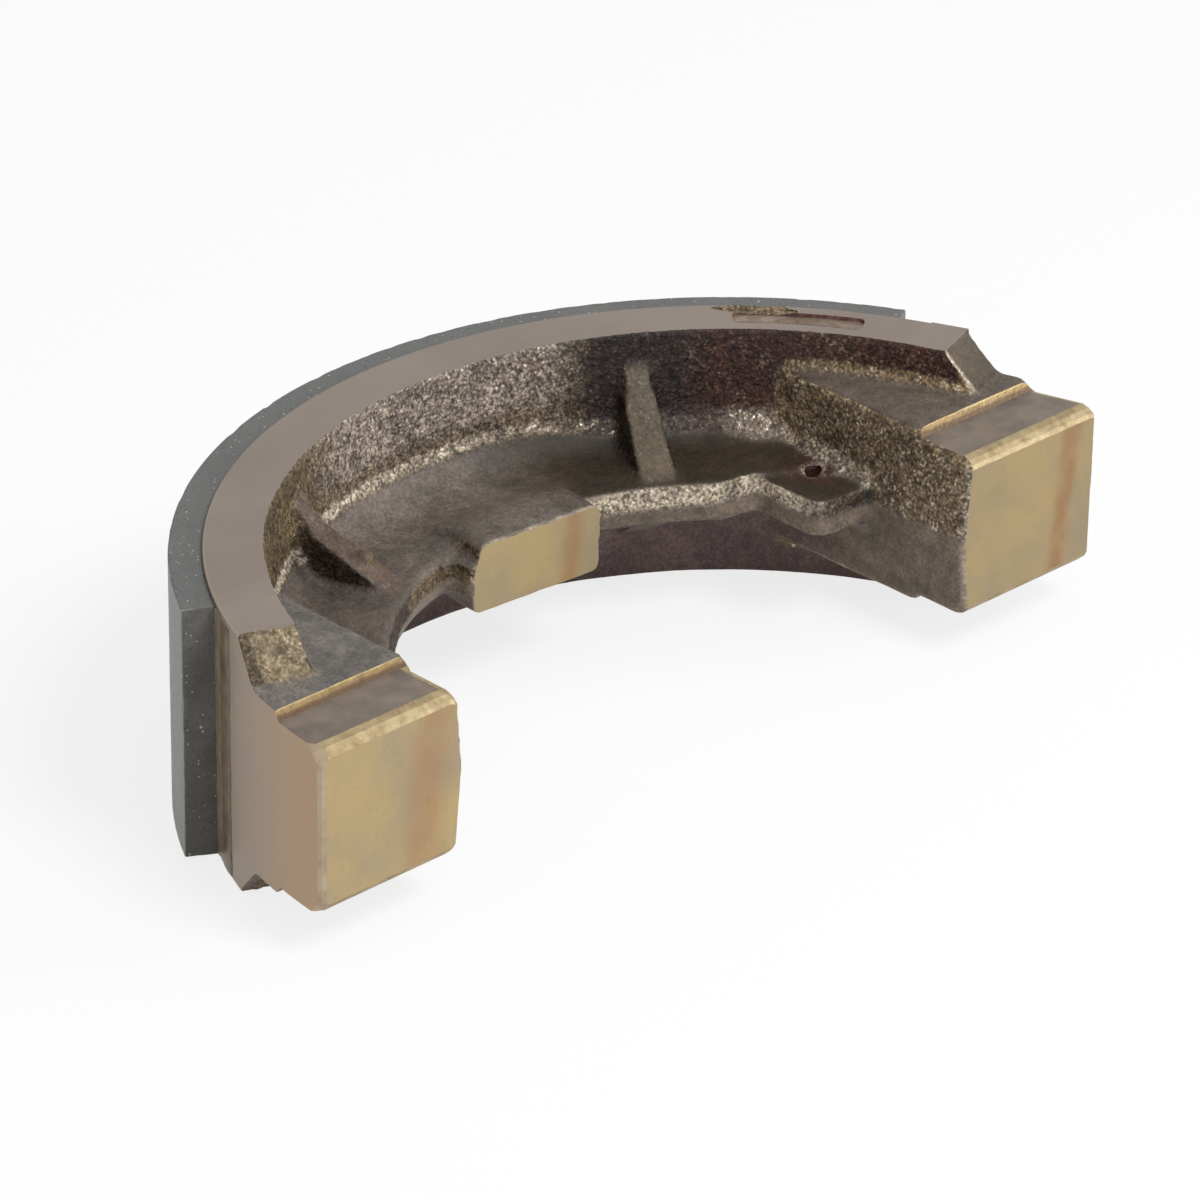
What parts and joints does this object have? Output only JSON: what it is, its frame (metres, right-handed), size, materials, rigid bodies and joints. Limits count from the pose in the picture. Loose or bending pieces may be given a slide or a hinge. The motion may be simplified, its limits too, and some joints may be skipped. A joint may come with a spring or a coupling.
{
  "type": "brake shoe",
  "caption": "Curved cast iron drum brake shoe with a bonded friction lining, ribbed web, machined end faces and rest pad.",
  "frame": {"origin": "on the brake drum's axis, level with the shoe's lower face", "axes": "+Z along the drum's axis, +Y from the drum's axis through the middle of the shoe, +X towards the end with the spring ear"},
  "size_m": [0.2381, 0.117, 0.062],
  "materials": {
    "casting": "rough cast skin with turned and milled faces",
    "lining": "matt ground friction compound"
  },
  "bodies": {
    "root": {"shoe_casting": "casting", "friction_lining": "lining"}
  },
  "joints": []
}
